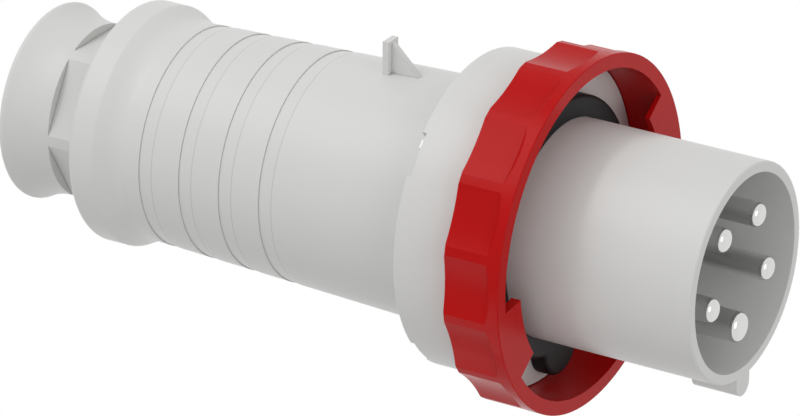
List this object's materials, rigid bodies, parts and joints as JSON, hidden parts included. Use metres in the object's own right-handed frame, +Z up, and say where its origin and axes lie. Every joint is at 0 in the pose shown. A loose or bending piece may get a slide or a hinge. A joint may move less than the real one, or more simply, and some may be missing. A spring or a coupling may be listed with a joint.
{
  "type": "industrial pin and sleeve plug",
  "caption": "Round industrial pin and sleeve plug with a keyed sleeve round its contact pins, a red bayonet locking ring with hollow grips, a tapered handle and a flared cable gland nut.",
  "frame": {"origin": "centre of the sleeve's mouth plane, on the plug's axis", "axes": "+X along the plug's axis, out of the mouth, towards the socket; +Z up, with the earth pin and keying nose at the bottom (-Z) and the cap-cord lug on top; +Y to the left as seen from behind the plug"},
  "size_m": [0.26, 0.1178, 0.1178],
  "materials": {
    "housing_plastic": "satin",
    "ring_plastic": "satin",
    "insert_plastic": "matte",
    "pressure_plastic": "matte",
    "gasket_rubber": "matte",
    "seal_rubber": "matte",
    "nickel_plated_brass": "satin",
    "plated_steel": "satin",
    "spring_steel": "polished"
  },
  "bodies": {
    "plug": {"plug_housing": "housing_plastic", "flange_gasket": "gasket_rubber", "contact_carrier": "insert_plastic", "carrier_retainer": "insert_plastic", "terminal_clamp_plates": "plated_steel", "terminal_screws": "plated_steel", "carrier_screws": "plated_steel", "retainer_screw": "plated_steel", "handle": "housing_plastic", "latch_springs": "spring_steel", "housing_seal": "gasket_rubber", "pressure_ring_front": "pressure_plastic", "cable_seal": "seal_rubber", "pin_earth": "nickel_plated_brass", "pin_l1": "nickel_plated_brass", "pin_l2": "nickel_plated_brass", "pin_l3": "nickel_plated_brass", "pin_neutral": "nickel_plated_brass"},
    "locking_ring": {"locking_ring": "ring_plastic"},
    "pressure_ring": {"pressure_ring_rear": "pressure_plastic"},
    "gland_nut": {"gland_nut": "housing_plastic"}
  },
  "joints": [
    {"name": "locking_ring_turn", "type": "hinge", "parent": "plug", "child": "locking_ring", "pos_m": [-0.0651, 0, 0], "axis": [1, 0, 0], "range_deg": [0, 60]},
    {"name": "pressure_ring_slide", "type": "slide", "parent": "plug", "child": "pressure_ring", "axis": [1, 0, 0], "range_m": [-0.003, 0]},
    {"name": "gland_nut_turn", "type": "hinge", "parent": "pressure_ring", "child": "gland_nut", "pos_m": [-0.2466, 0, 0], "axis": [1, 0, 0], "range_deg": [-360, 0]}
  ],
  "couplings": [
    {"joint": "pressure_ring_slide", "follows": "gland_nut_turn", "m_per_rad": 0.00047746}
  ]
}
